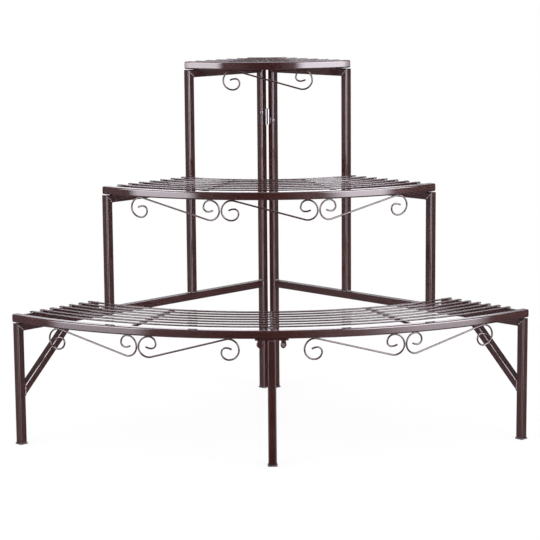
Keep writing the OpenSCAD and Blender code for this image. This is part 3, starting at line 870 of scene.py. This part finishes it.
def knuckle_welds(side, at, low, high, weld):
    """Two fillets between a knuckle at the distance at from the corner and its post, and a lump on the post's
    front corner, beside the knuckle's own half of the hinge."""
    foot, short = 0.0025, 0.001
    parts = [
        fillet(
            side_point(side, at + way * foot, -HALF, low + short),
            side_point(side, at + way * foot, -HALF, high - short),
            side_vector(side, 0, -1, 0),
            side_vector(side, way, 0, 0),
            weld.small_leg,
            weld.pitch,
        )
        for way in (-1.0, 1.0)
    ]
    sunk, half_length, half_width, rise, pitch = 0.0012, 0.005, 0.0032, 0.0026, 0.0035
    corner = (POST_AT["rear_post"] + HALF - sunk, -HALF + sunk)
    ends = (side_point(side, *corner, (low + high) / 2 + way * half_length) for way in (-1, 1))
    return parts + [beads(*ends, (0, -1, 0), (1, 0, 0), half_width, rise, pitch)]


class PLANTSTAND_OT_weld_hinges(bpy.types.Operator):
    """Welds the hinge knuckles to the rear posts and finishes the knuckles and the hinge pins"""

    bl_idname = "plantstand.weld_hinges"
    bl_label = "Weld the hinges"

    def execute(self, context):
        stand = context.scene.plant_stand
        material = bpy.data.materials["Weld enamel"]
        paint("hinge_pins", plated_steel("Pin steel", (0.20, 0.18, 0.175), 0.34))
        bright = enamel(
            "Knuckle enamel", stand.enamel, cloud_size=80.0, edge_radius=0.0008, peel=0.0, shine=2.0
        )
        at = (CORNER_Y - middle_of("hinge_pins").y) * HALF_ROOT
        for side in SIDES:
            node = side + "_hinge_knuckles"
            paint(node, bright)
            # The widest gap between heights parts the lower knuckle from the upper one
            z = np.unique(np.round(points_of(node)[:, 2], 4))
            cut = np.argmax(np.diff(z))
            parts = knuckle_welds(side, at, z[0], z[cut], stand.weld)
            parts += knuckle_welds(side, at, z[cut + 1], z[-1], stand.weld)
            build_mesh(side + "_hinge_welds", parts, side + "_frame", material)
        return {"FINISHED"}


def square_stack(centre, levels, axes, around=72):
    """Rings of a rounded square piled along an axis. Each level is (height, half width, corner radius); the
    ring's outline is that of rounded_square. axes are the two directions across and the one along."""
    turn = np.linspace(0, 2 * np.pi, around, endpoint=False)
    levels = np.array(levels)
    radius = np.stack([rounded_square(turn, half, corner) for _, half, corner in levels])
    a, b, c = (np.asarray(v, float) for v in axes)
    return (
        np.asarray(centre, float)
        + (radius * np.cos(turn))[..., None] * a
        + (radius * np.sin(turn))[..., None] * b
        + levels[:, 0][:, None, None] * c
    )


def rounded_levels(low, high, half, corner, rounding, steps=5):
    """Levels of a slab whose lower and upper edges are quarter circles of the radius rounding."""
    turn = np.linspace(0, np.pi / 2, steps)
    lower = [(low + rounding * (1 - math.sin(t)), half - rounding * (1 - math.cos(t))) for t in turn[::-1]]
    upper = [(high - rounding * (1 - math.sin(t)), half - rounding * (1 - math.cos(t))) for t in turn]
    least_corner = 0.0004
    return [(z, h, max(corner - (half - h), least_corner)) for z, h in lower + upper]


class PLANTSTAND_OT_mould_feet(bpy.types.Operator):
    """Moulds the feet: a flange with rounded edges and the shank that grips the inside of the tube"""

    bl_idname = "plantstand.mould_feet"
    bl_label = "Mould the feet"

    def execute(self, context):
        stand = context.scene.plant_stand
        material = moulded_plastic("Moulded plastic", stand.plastic)
        flange, flange_half, flange_corner = 0.003, 0.0095, 0.003
        levels = rounded_levels(0.0, flange, flange_half, flange_corner, stand.small.rounding)
        shank_half, shank_corner, tip_half, tip_corner, taper = 0.0066, 0.0018, 0.0058, 0.0014, 0.001
        feet = {}
        for side, way in SIDES.items():
            axes = side_vector(side, 1, 0, 0), way * side_vector(side, 0, 1, 0)
            for name in ("_rear_foot", "_front_foot"):
                feet[side + name] = (side + "_frame", *axes)
        feet["centre_leg_foot"] = ("bottom_shelf", (1.0, 0.0, 0.0), (0.0, 1.0, 0.0))
        for node, (body, a, b) in feet.items():
            at, height = middle_of(node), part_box(node)[1].z
            shank = [(flange, shank_half, shank_corner), (height - taper, shank_half - 0.0002, shank_corner)]
            shank += [(height, tip_half, tip_corner)]
            rings = square_stack((at.x, at.y, 0.0), levels + shank, (a, b, UP))
            piece = build_mesh(node + "_moulding", [skin(rings[None])], body, material)
            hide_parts(node)
        return {"FINISHED"}


class PLANTSTAND_OT_mould_plugs(bpy.types.Operator):
    """Moulds the end plugs of the rims: a head with a softly rounded face on a shank inside the tube"""

    bl_idname = "plantstand.mould_plugs"
    bl_label = "Mould the end plugs"

    def execute(self, context):
        material = enamel("Plug enamel", context.scene.plant_stand.enamel, cloud_size=50.0, wear_and_highlight=1.5)
        # Height, half width and corner radius: the shank, then the head, whose face is rounded by soft
        soft, turn = 0.0024, np.linspace(0, np.pi / 2, 9)
        levels = [(-0.0125, 0.0060, 0.0014), (-0.0120, 0.0064, 0.0018), (-0.0026, 0.0066, 0.0020)]
        levels += [(-0.0025, HALF - 0.0001, TUBE_CORNER)]
        levels += [(soft * (math.sin(t) - 1), HALF - soft * (1 - math.cos(t)), TUBE_CORNER) for t in turn]
        for tier in TIERS:
            radius = RIM_RADIUS[tier] - HALF
            end = math.pi / 4 - math.asin((ARC_BEHIND * HALF_ROOT - HALF - END_PAST[tier]) / radius)
            parts = []
            for way in (-1.0, 1.0):
                out = np.array([way * math.sin(end), -math.cos(end), 0.0])
                run = np.array([way * math.cos(end), math.sin(end), 0.0])
                centre = np.array([0.0, ARC_Y, RIM_TOP[tier] - HALF]) + radius * out
                parts.append(skin(square_stack(centre, levels, (out, -way * UP, run))[None]))
            piece = build_mesh(tier + "_rim_end_plugs", parts, tier + "_shelf", material)
            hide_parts(tier + "_rim_plugs")
        return {"FINISHED"}


def grip(centre, out, flat, root, drop, reach, thick):
    """The oval grip of a wing bolt: closed outlines stacked downwards from the root. With s from 0 at the root
    to 1 at the tip, the half width is reach (0.66 + 0.34 sin(pi s / 1.1)), cut past s = 0.5 by the root of
    1 - ((s - 0.5) / 0.5)^2, and the half thickness swells by a fifth towards the tip before it closes. An
    outline is the ellipse (|cos|^0.8, |sin|^0.8), so the faces are rather flat and the edges full."""
    s = 1 - np.linspace(1, 0.02, 26) ** 1.5
    width = reach * (0.66 + 0.34 * np.sin(np.pi * s / 1.1))
    width = width * np.sqrt(1 - np.clip((s - 0.5) / 0.5, 0, 1) ** 2)
    thin = thick / 2 * (1 + 0.2 * s) * np.sqrt(1 - np.clip((s - 0.8) / 0.21, 0, 1) ** 2)
    turn = np.linspace(0, 2 * np.pi, 32, endpoint=False)
    c, d = (np.sign(f) * np.abs(f) ** 0.8 for f in (np.cos(turn), np.sin(turn)))
    rings = centre + (width[:, None] * c)[..., None] * out + (thin[:, None] * d)[..., None] * flat
    rings = rings + (root - drop * s)[:, None, None] * UP
    if np.cross(out, flat)[2] > 0:
        rings = rings[:, ::-1]
    return skin(rings[None])


def turned(centre, profile, around=40):
    """A turned part: rings of (height, radius) about a vertical line through centre."""
    turn = np.linspace(0, 2 * np.pi, around, endpoint=False)
    z, r = (np.array(column) for column in zip(*profile))
    level = np.broadcast_to(z[:, None], (len(z), around))
    rings = np.stack([r[:, None] * np.cos(turn), r[:, None] * np.sin(turn), level], -1)
    return skin((centre + rings)[None])


class PLANTSTAND_OT_cast_wing_bolts(bpy.types.Operator):
    """Casts the two wing bolts that hold the centre leg: a waisted hub, an oval grip and a shank"""

    bl_idname = "plantstand.cast_wing_bolts"
    bl_label = "Cast the wing bolts"

    def execute(self, context):
        stand = context.scene.plant_stand
        material = enamel(
            "Bolt enamel", stand.enamel, cloud_size=120.0, peel_size=800.0, edge_radius=0.0007, wear_and_highlight=1.4,
            shine=1.28,
        )
        paint("leg_weld_nuts", plated_steel("Nut steel", (0.22, 0.20, 0.195), 0.36))
        plate_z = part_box("centre_leg_plate")[0].z
        shank_top, lobe_low, grip_root = 0.0005, 0.006, -0.0020
        for side in SIDES:
            node = side + "_wing_bolt"
            low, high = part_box(node)
            points = points_of(node)
            shank = points[points[:, 2] > high.z - shank_top]
            centre = np.array([shank[:, 0].mean(), shank[:, 1].mean(), plate_z])
            lobe = (points[points[:, 2] < low.z + lobe_low] - centre) * np.array([1.0, 1.0, 0.0])
            out = lobe[np.argmax(np.hypot(lobe[:, 0], lobe[:, 1]))]
            reach = np.linalg.norm(out)
            out = out / reach
            flat = np.array([-out[1], out[0], 0.0])
            # Height from the plate's underside and radius: the hub's collar, its neck and the shank
            top = high.z - plate_z
            profile = [(-0.0070, 0.0016), (-0.0069, 0.0030), (-0.0062, 0.0039), (-0.0045, 0.0043)]
            profile += [(-0.0025, 0.0044), (-0.0012, 0.0047), (-0.0004, 0.0047), (0.0, 0.0042)]
            profile += [(0.0004, 0.0030), (top - 0.0008, 0.0030), (top, 0.0023)]
            drop = plate_z - low.z + grip_root
            oval = grip(centre, out, flat, grip_root, drop, reach, stand.small.grip)
            parts = [turned(centre, profile), oval]
            piece = build_mesh(node + "_casting", parts, side + "_bolt", material)
            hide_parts(node)
        return {"FINISHED"}


# Width of the photograph in pixels
PHOTO_WIDTH = 540
# Bands over which a part of the surroundings comes in or goes: of the direction's height z, or of its azimuth
# in radians, counted to the right or on either side
BANDS = {
    "boxes' foot": (-0.29, -0.04),
    "boxes' upper part": (-0.05, 0.1),
    "boxes' top": (0.5, 0.7),
    "right box's slant": (-0.19, -0.08),
    "dim room": (-0.2, 0.0),
    "glow's end": (1.1, 1.3),
    "sides, left to right": (-0.3, 0.3),
    "sides' start": (1.18, 1.32),
    "sides' fading": (1.75, 2.1),
    "lower strip's foot": (0.1155, 0.1180),
    "lower strip's top": (0.146, 0.152),
    "upper strip's foot": (0.1835, 0.1870),
    "sweep's height": (0.05, 0.17),
    "sweep's start": (1.9, 2.6),
    "ceiling or floor": (0.35, 0.9),
}


class PLANTSTAND_OT_studio(bpy.types.Operator):
    """Sets the round white table, the softboxes, the white surroundings and the camera"""

    bl_idname = "plantstand.studio"
    bl_label = "Set the studio"

    def execute(self, context):
        studio = context.scene.plant_stand.studio
        self.table(context, studio)
        self.lamps(context, studio)
        self.surroundings(context, studio)
        self.camera(context, studio)
        context.scene.view_settings.view_transform = "Standard"
        return {"FINISHED"}

    def table(self, context, studio):
        """A flat disc, in rings about its middle."""
        count, around, innermost = 24, 96, 0.02
        turn = np.linspace(0, 2 * np.pi, around, endpoint=False)
        radius = np.linspace(innermost, 1, count)[:, None] * studio.floor_radius
        rings = np.stack([radius * np.cos(turn), radius * np.sin(turn), np.zeros((count, around))], -1)
        i, j = (a.ravel() for a in np.meshgrid(np.arange(count - 1), np.arange(around), indexing="ij"))
        k = (j + 1) % around
        quads = np.stack([i * around + j, (i + 1) * around + j, (i + 1) * around + k, i * around + k], -1)
        mesh = bpy.data.meshes.new("White table")
        mesh.from_pydata(rings.reshape(-1, 3).tolist(), [], quads.tolist() + [list(range(around))])
        mesh.update()
        made, tree, surface, place = new_material("Table white")
        cloud = noise_node(tree, place, scale=3.0, detail=3.0)
        pale = [1.01 * c for c in studio.floor_colour]
        colour = mix_colour(tree, cloud, studio.floor_colour, pale)
        feed_named(tree, surface, Base_Color=colour, Roughness=0.9, Specular_IOR_Level=0.1)
        # Much of what the camera sees is plain white, all of it at the edge, so the shadow stays but is faint
        white = tree.nodes.new("ShaderNodeEmission")
        share = tree.nodes.new("ShaderNodeMixShader")
        camera_ray = tree.nodes.new("ShaderNodeLightPath").outputs["Is Camera Ray"]
        least_white, fade_from, fade_to = 0.78, 0.5, 0.97 * studio.floor_radius
        far = tree.nodes.new("ShaderNodeVectorMath")
        far.operation = "LENGTH"
        tree.links.new(place, far.inputs[0])
        edge = ramp_node(tree, far.outputs["Value"], fade_from, fade_to)
        part = math_node(tree, "MAXIMUM", edge, least_white)
        tree.links.new(math_node(tree, "MULTIPLY", camera_ray, part), share.inputs[0])
        tree.links.new(surface.outputs[0], share.inputs[1])
        tree.links.new(white.outputs[0], share.inputs[2])
        output = next(node for node in tree.nodes if node.type == "OUTPUT_MATERIAL")
        tree.links.new(share.outputs[0], output.inputs["Surface"])
        mesh.materials.append(made)
        table = bpy.data.objects.new("White table", mesh)
        context.scene.collection.objects.link(table)
        table.visible_glossy = False

    def lamps(self, context, studio):
        """Two large lamps in front, to the left and right. Gloss doesn't mirror them: it mirrors the softboxes
        of the surroundings."""
        side, away, high, aim = 2.4, 3.6, 1.6, Vector((0, 0, 0.3))
        for name, azimuth in (("Left lamp", -55.0), ("Right lamp", 49.0)):
            a = math.radians(azimuth)
            light = bpy.data.lights.new(name, "AREA")
            light.shape, light.size, light.size_y = "RECTANGLE", side, side
            light.energy = studio.lamp_power
            light.color = (0.99, 0.97, 1.0)
            lamp = bpy.data.objects.new(name, light)
            context.scene.collection.objects.link(lamp)
            lamp.location = (away * math.sin(a), -away * math.cos(a), high)
            lamp.rotation_euler = (aim - lamp.location).to_track_quat("-Z", "Z").to_euler()
            lamp.visible_camera = lamp.visible_glossy = False

    def surroundings(self, context, studio):
        """White where the camera looks, an even fill on matt surfaces, and in gloss a studio that is a function
        of the direction: a dim room in front that glows near two softboxes, which fade towards the floor, grey
        sides, two bright strips of a sweep behind, a pale ceiling and a pale floor."""
        world = context.scene.world or bpy.data.worlds.new("Studio")
        context.scene.world = world
        world.use_nodes = True
        tree = world.node_tree
        tree.nodes.clear()
        path = tree.nodes.new("ShaderNodeLightPath")
        parted = tree.nodes.new("ShaderNodeSeparateXYZ")
        tree.links.new(tree.nodes.new("ShaderNodeTexCoord").outputs["Generated"], parted.inputs[0])
        x, y, z = parted.outputs
        turn = math_node(tree, "ARCTAN2", x, math_node(tree, "MULTIPLY", y, -1.0))
        aside = math_node(tree, "ABSOLUTE", turn)

        def scaled(value, factor, shift=0.0):
            """factor times a value, plus shift."""
            return math_node(tree, "ADD", math_node(tree, "MULTIPLY", value, factor), shift)

        def rest_of(value):
            """What a value lacks to 1."""
            return math_node(tree, "SUBTRACT", 1.0, value)

        def total(*parts):
            """The sum of the parts."""
            return functools.reduce(lambda a, b: math_node(tree, "ADD", a, b), parts)

        def product(*parts):
            """The product of the parts."""
            return functools.reduce(lambda a, b: math_node(tree, "MULTIPLY", a, b), parts)

        def band(value, name):
            """0 to 1 over one of the bands."""
            return ramp_node(tree, value, *BANDS[name])

        def past(limit, soft):
            """0 to 1 where the azimuth passes a limit, over soft on both sides; numbers or sockets."""
            away = math_node(tree, "DIVIDE", math_node(tree, "SUBTRACT", turn, limit), soft)
            return ramp_node(tree, away, -1.0, 1.0)

        def edge(azimuth, shift, by):
            """A softbox's edge: an azimuth in degrees that shifts by so many degrees where by is 1."""
            return scaled(by, math.radians(shift), math.radians(azimuth))

        # The softboxes are narrowest at the height where waist is 1. The right one's inner edge is soft low down
        waist_z, waist_reach = -0.123, 0.067
        waist = math_node(tree, "ABSOLUTE", math_node(tree, "SUBTRACT", z, waist_z))
        waist = rest_of(ramp_node(tree, waist, 0.0, waist_reach))
        slant = band(z, "right box's slant")
        left_box = product(past(edge(-73, 6.5, waist), 0.06), rest_of(past(edge(-41, 5.5, waist), 0.07)))
        right_inner = past(edge(38.5, -11, slant), scaled(slant, -0.12, 0.22))
        right_box = product(right_inner, rest_of(past(edge(72, -14, waist), 0.08)))
        left_share, right_share, upper_share = 0.9, 1.08, 0.4
        level = total(band(z, "boxes' foot"), scaled(band(z, "boxes' upper part"), upper_share))
        level = product(level, rest_of(band(z, "boxes' top")))
        both = total(scaled(left_box, left_share), scaled(right_box, right_share))
        boxes = product(both, level, studio.box_radiance)
        # The room in front, its glow near the softboxes, and the grey to the left and right
        room = scaled(band(z, "dim room"), 0.05, 0.02)
        right_glow, left_glow = 0.7, 0.35
        glow = total(scaled(past(0.25, 0.15), right_glow), scaled(past(-0.38, 0.18), -left_glow, left_glow))
        glow = product(glow, rest_of(band(aside, "glow's end")))
        left_grey, right_grey, lasting_grey = 0.24, 0.10, 0.10
        grey = scaled(band(turn, "sides, left to right"), right_grey - left_grey, left_grey)
        grey = total(product(grey, rest_of(band(aside, "sides' fading"))), lasting_grey)
        sides = product(band(aside, "sides' start"), grey)
        # Behind, the sweep is white in two strips that widen with height, and grey elsewhere
        strips = total(band(z, "lower strip's foot"), scaled(band(z, "lower strip's top"), -1.0))
        strips = total(strips, band(z, "upper strip's foot"))
        width_low, widening, edge_soft, strip_white = math.pi - 0.0785, 0.76, 0.012, 2.1
        width = scaled(z, -widening, width_low - widening * waist_z)
        within = ramp_node(tree, math_node(tree, "SUBTRACT", aside, width), -edge_soft, edge_soft)
        sweep = scaled(band(z, "sweep's height"), 0.13, 0.04)
        sweep = total(sweep, scaled(product(strips, within), strip_white))
        sweep = product(sweep, band(aside, "sweep's start"))
        ceiling = scaled(band(z, "ceiling or floor"), 0.12)
        floor = scaled(band(scaled(z, -1.0), "ceiling or floor"), 0.3)
        mirrored = total(boxes, room, glow, sides, sweep, ceiling, floor)
        seen = math_node(tree, "MAXIMUM", path.outputs["Is Camera Ray"], path.outputs["Is Transmission Ray"])
        strength = tree.nodes.new("ShaderNodeMix")
        strength.inputs[2].default_value = studio.sky
        tree.links.new(path.outputs["Is Glossy Ray"], strength.inputs[0])
        tree.links.new(mirrored, strength.inputs[3])
        shown = tree.nodes.new("ShaderNodeMix")
        tree.links.new(seen, shown.inputs[0])
        tree.links.new(strength.outputs[0], shown.inputs[2])
        shown.inputs[3].default_value = 1.0
        background = tree.nodes.new("ShaderNodeBackground")
        tint = mix_colour(tree, path.outputs["Is Glossy Ray"], (1.0, 1.0, 1.0), (0.96, 0.93, 1.0))
        tree.links.new(tint, background.inputs["Color"])
        tree.links.new(shown.outputs[0], background.inputs["Strength"])
        tree.links.new(background.outputs[0], tree.nodes.new("ShaderNodeOutputWorld").inputs["Surface"])

    def camera(self, context, studio):
        """A camera at the photograph's place and angle; its lens follows from the focal length in pixels."""
        data = bpy.data.cameras.new("Camera")
        data.sensor_width = 36.0
        data.lens = studio.focal_px / PHOTO_WIDTH * data.sensor_width
        data.clip_start, data.clip_end = 0.1, 50
        camera = bpy.data.objects.new("Camera", data)
        context.scene.collection.objects.link(camera)
        yaw, pitch, roll = studio.yaw, studio.pitch, studio.roll
        level = math.cos(pitch)
        ahead = Vector((math.sin(yaw) * level, math.cos(yaw) * level, -math.sin(pitch)))
        right = Vector((math.cos(yaw), -math.sin(yaw), 0))
        up = right.cross(ahead)
        c, s = math.cos(roll), math.sin(roll)
        right, up = c * right + s * up, c * up - s * right
        turn = Matrix((right, up, -ahead)).transposed().to_4x4()
        camera.matrix_world = Matrix.Translation(studio.camera_at) @ turn
        context.scene.camera = camera


class PLANTSTAND_PT_panel(bpy.types.Panel):
    """Lists the steps in the sidebar of the 3D view"""

    bl_idname = "PLANTSTAND_PT_panel"
    bl_label = "Plant Stand"
    bl_space_type = "VIEW_3D"
    bl_region_type = "UI"
    bl_category = "Plant Stand"

    def draw(self, context):
        for step in STEPS:
            self.layout.operator(step.bl_idname)
        stand = context.scene.plant_stand
        for group in (stand.enamel, stand.plastic, stand.weld, stand.small, stand.studio):
            box = self.layout.box()
            for name in group.__annotations__:
                box.prop(group, name)


STEPS = (
    PLANTSTAND_OT_enamel_frames,
    PLANTSTAND_OT_enamel_shelves,
    PLANTSTAND_OT_enamel_scrolls,
    PLANTSTAND_OT_weld_frames,
    PLANTSTAND_OT_weld_shelves,
    PLANTSTAND_OT_weld_scrolls,
    PLANTSTAND_OT_weld_hinges,
    PLANTSTAND_OT_mould_feet,
    PLANTSTAND_OT_mould_plugs,
    PLANTSTAND_OT_cast_wing_bolts,
    PLANTSTAND_OT_studio,
)
CLASSES = (
    EnamelSettings,
    PlasticSettings,
    WeldSettings,
    SmallPartSettings,
    StudioSettings,
    PlantStandSettings,
    *STEPS,
    PLANTSTAND_PT_panel,
)


def register():
    for cls in CLASSES:
        bpy.utils.register_class(cls)
    bpy.types.Scene.plant_stand = PointerProperty(type=PlantStandSettings)


def unregister():
    del bpy.types.Scene.plant_stand
    for cls in reversed(CLASSES):
        bpy.utils.unregister_class(cls)


def main():
    """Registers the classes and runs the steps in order."""
    register()
    for step in STEPS:
        group, name = step.bl_idname.split(".")
        getattr(getattr(bpy.ops, group), name)()


if __name__ == "__main__":
    main()
